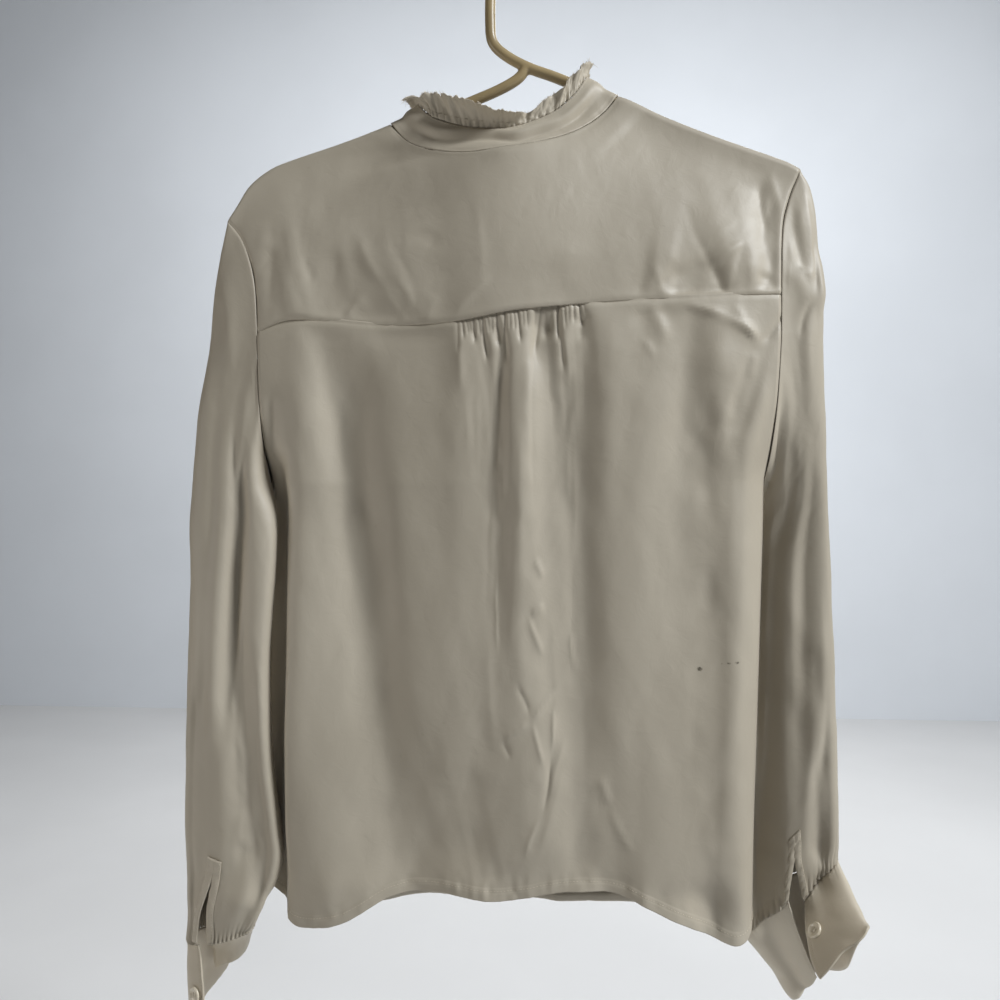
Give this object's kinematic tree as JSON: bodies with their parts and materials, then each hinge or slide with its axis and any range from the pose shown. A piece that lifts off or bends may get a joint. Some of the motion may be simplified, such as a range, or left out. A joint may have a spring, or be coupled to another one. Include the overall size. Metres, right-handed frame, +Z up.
{
  "type": "silk blouse on a hanger",
  "caption": "Long-sleeved silk blouse with a back yoke, ruffled band collar and open cuffs, hanging flat on a tubular hanger with a hook.",
  "frame": {"origin": "inside the crown of the hanger's hook, where a rail carries it", "axes": "+Z up, +X towards the wearer's right hand, +Y towards the front of the blouse, so its back faces -Y"},
  "size_m": [0.5169, 0.1293, 0.871],
  "materials": {
    "silk": "soft sheen, creased",
    "button_plastic": "glossy",
    "hanger_plastic": "semi-gloss"
  },
  "bodies": {
    "root": {"back_panel": "silk", "back_yoke": "silk", "front_left": "silk", "front_right": "silk", "front_band": "silk", "collar_band": "silk", "collar_ruffle": "silk", "sleeve_left": "silk", "sleeve_left_binding_inner": "silk", "sleeve_left_binding_outer": "silk", "sleeve_right": "silk", "sleeve_right_binding_inner": "silk", "sleeve_right_binding_outer": "silk", "cuff_left": "silk", "cuff_right": "silk", "front_button_1": "button_plastic", "front_button_2": "button_plastic", "front_button_3": "button_plastic", "front_button_4": "button_plastic", "front_button_5": "button_plastic", "front_button_6": "button_plastic", "collar_button": "button_plastic", "cuff_button_left": "button_plastic", "cuff_button_right": "button_plastic", "hanger": "hanger_plastic"}
  },
  "joints": []
}
